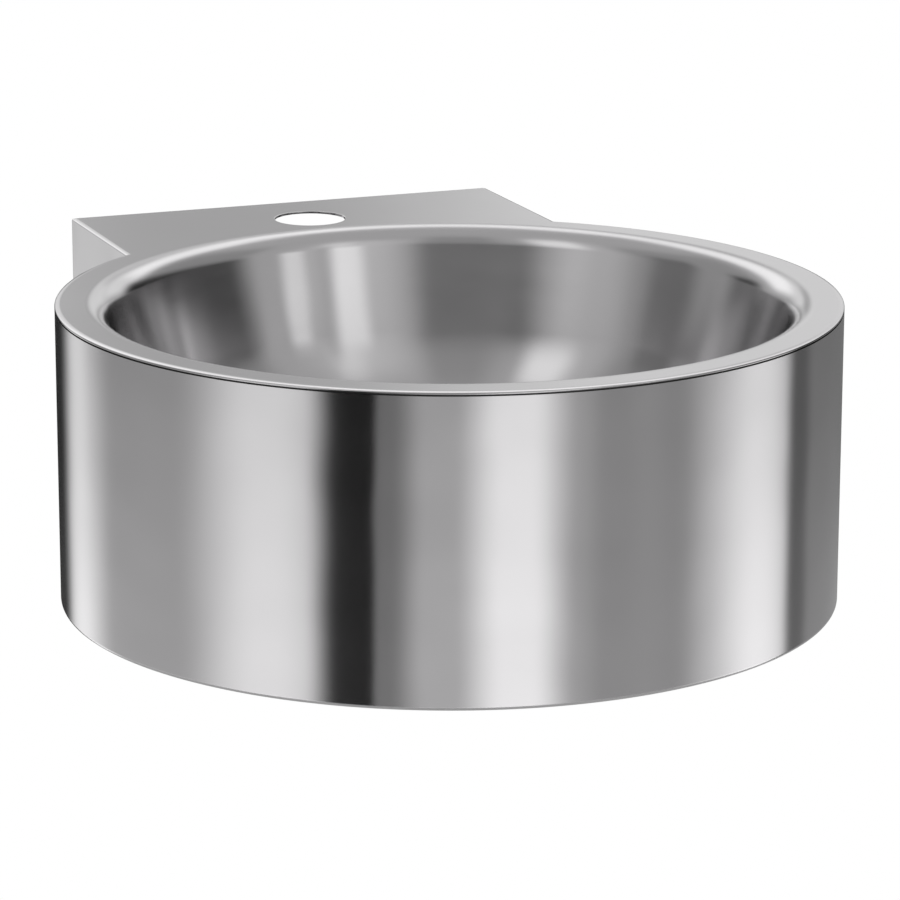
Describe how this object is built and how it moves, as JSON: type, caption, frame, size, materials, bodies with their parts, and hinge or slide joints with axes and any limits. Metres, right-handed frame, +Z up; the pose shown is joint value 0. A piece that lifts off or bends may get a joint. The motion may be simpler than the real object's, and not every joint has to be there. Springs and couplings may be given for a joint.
{
  "type": "wall-hung hand wash basin",
  "caption": "Wall-hung round stainless steel hand wash basin with cylindrical apron, rear tap ledge with open tap hole, strainer waste and hang-on wall bracket.",
  "frame": {"origin": "centre of the four wall fixing holes, on the wall plane", "axes": "+X to the right of someone in front of the basin, +Y into the wall, +Z up"},
  "size_m": [0.36, 0.414, 0.1685],
  "materials": {
    "satin_steel": "satin polished",
    "mill_steel": "mill finish",
    "zinc_steel": "zinc plated",
    "bright_steel": "polished",
    "chrome": "polished",
    "black_rubber": "matt",
    "damping": "matt",
    "white_plastic": "matt",
    "brass": "machined"
  },
  "bodies": {
    "root": {"bowl": "satin_steel", "deck_plate": "satin_steel", "skirt": "satin_steel", "left_side_panel": "satin_steel", "right_side_panel": "satin_steel", "ledge_stiffeners": "mill_steel", "hanging_hooks": "mill_steel", "lower_rail": "mill_steel", "wall_bracket": "zinc_steel", "locking_screws": "bright_steel", "locking_washers": "bright_steel", "locking_nuts": "zinc_steel", "sound_pad": "damping", "earth_tag": "mill_steel", "waste_body": "chrome", "strainer_plate": "bright_steel", "strainer_screw": "bright_steel", "flange_seal": "black_rubber", "bowl_gasket": "black_rubber", "slip_washer": "white_plastic", "lock_nut": "brass"}
  },
  "joints": []
}
